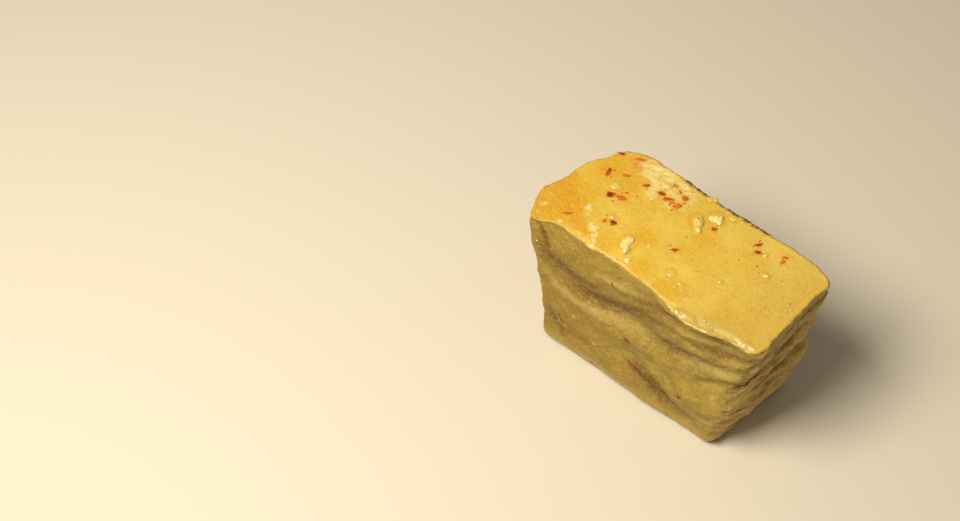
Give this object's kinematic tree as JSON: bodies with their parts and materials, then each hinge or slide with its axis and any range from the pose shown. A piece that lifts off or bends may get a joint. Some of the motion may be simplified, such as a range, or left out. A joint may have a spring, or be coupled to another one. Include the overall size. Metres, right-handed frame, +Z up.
{
  "type": "block of fermented bean curd",
  "caption": "Soft preserved bean curd block with a flat cut top, a torn corner and wrinkled, slightly undercut sides that stand on a flat foot.",
  "frame": {"origin": "middle of the bounding box in plan, on the surface that the flat foot rests on", "axes": "+X along the block's long side, +Y from the wrinkled front wall to the back wall, +Z up through the cut top"},
  "size_m": [0.0404, 0.0202, 0.0262],
  "materials": {
    "curd": null,
    "crumb": "pale, porous crumbs of the same curd, damp",
    "chilli": "dried red chilli skin, soaked, in small glossy flakes",
    "spice": "ground dark spice in specks",
    "brine": "clear, slightly yellow drops of salty brine"
  },
  "bodies": {
    "root": {"curd_block": "curd"}
  },
  "joints": []
}
